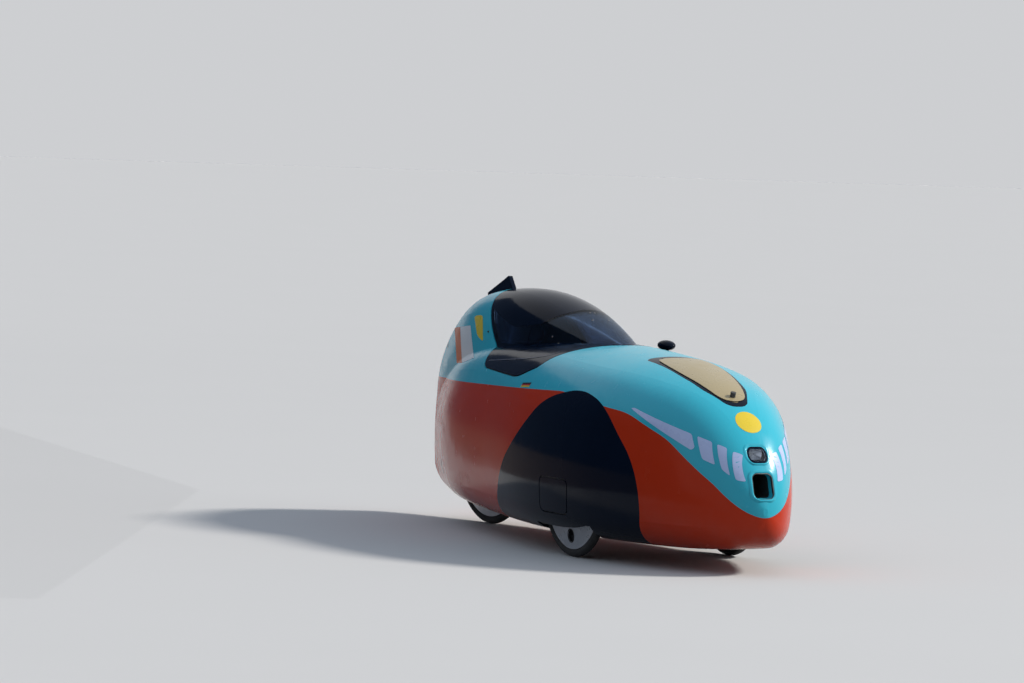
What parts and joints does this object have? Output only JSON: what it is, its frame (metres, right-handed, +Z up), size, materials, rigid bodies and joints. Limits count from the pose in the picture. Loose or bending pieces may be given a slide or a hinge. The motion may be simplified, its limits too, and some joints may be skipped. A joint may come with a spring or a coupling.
{
  "type": "velomobile",
  "caption": "Faired three-wheeled recumbent cycle with a smooth closed body, wheel covers, tilting hood with visor, nose hatch and tiller steering.",
  "frame": {"origin": "on the ground, in the middle of the body's length and width", "axes": "+X towards the nose, +Y to the left, +Z up"},
  "size_m": [2.525, 0.7604, 0.8846],
  "materials": {
    "turquoise_paint": "gloss, laminate with coloured top coat",
    "orange_paint": "gloss, laminate with coloured top coat",
    "black_gloss": "gloss",
    "black_matte": "satin",
    "tan_panel": "satin",
    "clear_pane": "clear polycarbonate",
    "lamp_glass": "clear",
    "laminate": "dark carbon laminate",
    "tyre_rubber": "slick",
    "disc_silver": "satin silver",
    "alloy": "satin",
    "steel": "satin",
    "red_lamp": "clear red",
    "foam": "foam in dark cloth",
    "grip_rubber": "matte",
    "mirror_glass": "polished"
  },
  "bodies": {
    "frame": {"upper_shell": "turquoise_paint", "lower_shell": "orange_paint", "tail_lamp": "red_lamp", "hatch_frame": "black_gloss", "wheel_cover_left": "black_gloss", "wheel_cover_right": "black_gloss", "flap_seals": "black_matte", "cockpit_rim": "black_matte", "hatch_seal": "black_matte", "lamp_housing": "black_gloss", "lamp_lens": "lamp_glass", "intake_duct": "black_matte", "wheel_house_left": "laminate", "wheel_house_right": "laminate", "rear_wheel_house": "laminate", "strut_mounts": "black_matte", "lower_arms": "alloy", "rear_fork": "alloy", "seat": "laminate", "head_rest": "foam", "tiller_post": "laminate", "roof_fin": "black_gloss"},
    "hood": {"hood_shell": "black_gloss", "visor": "clear_pane", "side_windows": "clear_pane", "mirror_pod": "black_gloss", "mirror_glass": "mirror_glass"},
    "nose_hatch": {"hatch_lid": "tan_panel", "hatch_knob": "black_matte"},
    "flap_left": {"access_flap_left": "black_gloss"},
    "flap_right": {"access_flap_right": "black_gloss"},
    "steering_left": {"knuckle_left": "steel", "strut_left": "steel"},
    "steering_right": {"knuckle_right": "steel", "strut_right": "steel"},
    "wheel_left": {"front_tyre_left": "tyre_rubber", "front_rim_left": "disc_silver", "front_hub_left": "alloy"},
    "wheel_right": {"front_tyre_right": "tyre_rubber", "front_rim_right": "disc_silver", "front_hub_right": "alloy"},
    "wheel_rear": {"rear_tyre": "tyre_rubber", "rear_rim": "disc_silver", "rear_hub": "alloy"},
    "tiller": {"tiller": "alloy", "tiller_grips": "grip_rubber"}
  },
  "joints": [
    {"name": "steer_left", "type": "hinge", "parent": "frame", "child": "steering_left", "pos_m": [0.4705, 0.235, 0.231], "axis": [-0.1724, -0.12, 0.9777], "range_deg": [-6, 6]},
    {"name": "steer_right", "type": "hinge", "parent": "frame", "child": "steering_right", "pos_m": [0.4705, -0.235, 0.231], "axis": [-0.1724, 0.12, 0.9777], "range_deg": [-6, 6]},
    {"name": "tiller_turn", "type": "hinge", "parent": "frame", "child": "tiller", "pos_m": [0.2405, 0, 0.19], "axis": [-0.6247, 0, 0.7809], "range_deg": [-18, 18]},
    {"name": "wheel_left_spin", "type": "hinge", "parent": "steering_left", "child": "wheel_left", "pos_m": [0.4705, 0.29, 0.231], "axis": [0, 1, 0], "continuous": true},
    {"name": "wheel_right_spin", "type": "hinge", "parent": "steering_right", "child": "wheel_right", "pos_m": [0.4705, -0.29, 0.231], "axis": [0, 1, 0], "continuous": true},
    {"name": "wheel_rear_spin", "type": "hinge", "parent": "frame", "child": "wheel_rear", "pos_m": [-0.7945, 0, 0.3075], "axis": [0, 1, 0], "continuous": true},
    {"name": "hood_open", "type": "hinge", "parent": "frame", "child": "hood", "pos_m": [0.2785, 0, 0.694], "axis": [0, 1, 0], "range_deg": [0, 60]},
    {"name": "hatch_open", "type": "hinge", "parent": "frame", "child": "nose_hatch", "pos_m": [0.6095, 0, 0.673], "axis": [0, -1, 0], "range_deg": [0, 75]},
    {"name": "flap_left_open", "type": "hinge", "parent": "frame", "child": "flap_left", "pos_m": [0.4675, 0.377, 0.2625], "axis": [1, 0, 0], "range_deg": [0, 90]},
    {"name": "flap_right_open", "type": "hinge", "parent": "frame", "child": "flap_right", "pos_m": [0.4675, -0.377, 0.2625], "axis": [-1, 0, 0], "range_deg": [0, 90]}
  ],
  "couplings": [
    {"joint": "steer_right", "follows": "steer_left", "ratio": 1},
    {"joint": "tiller_turn", "follows": "steer_left", "ratio": 3}
  ]
}
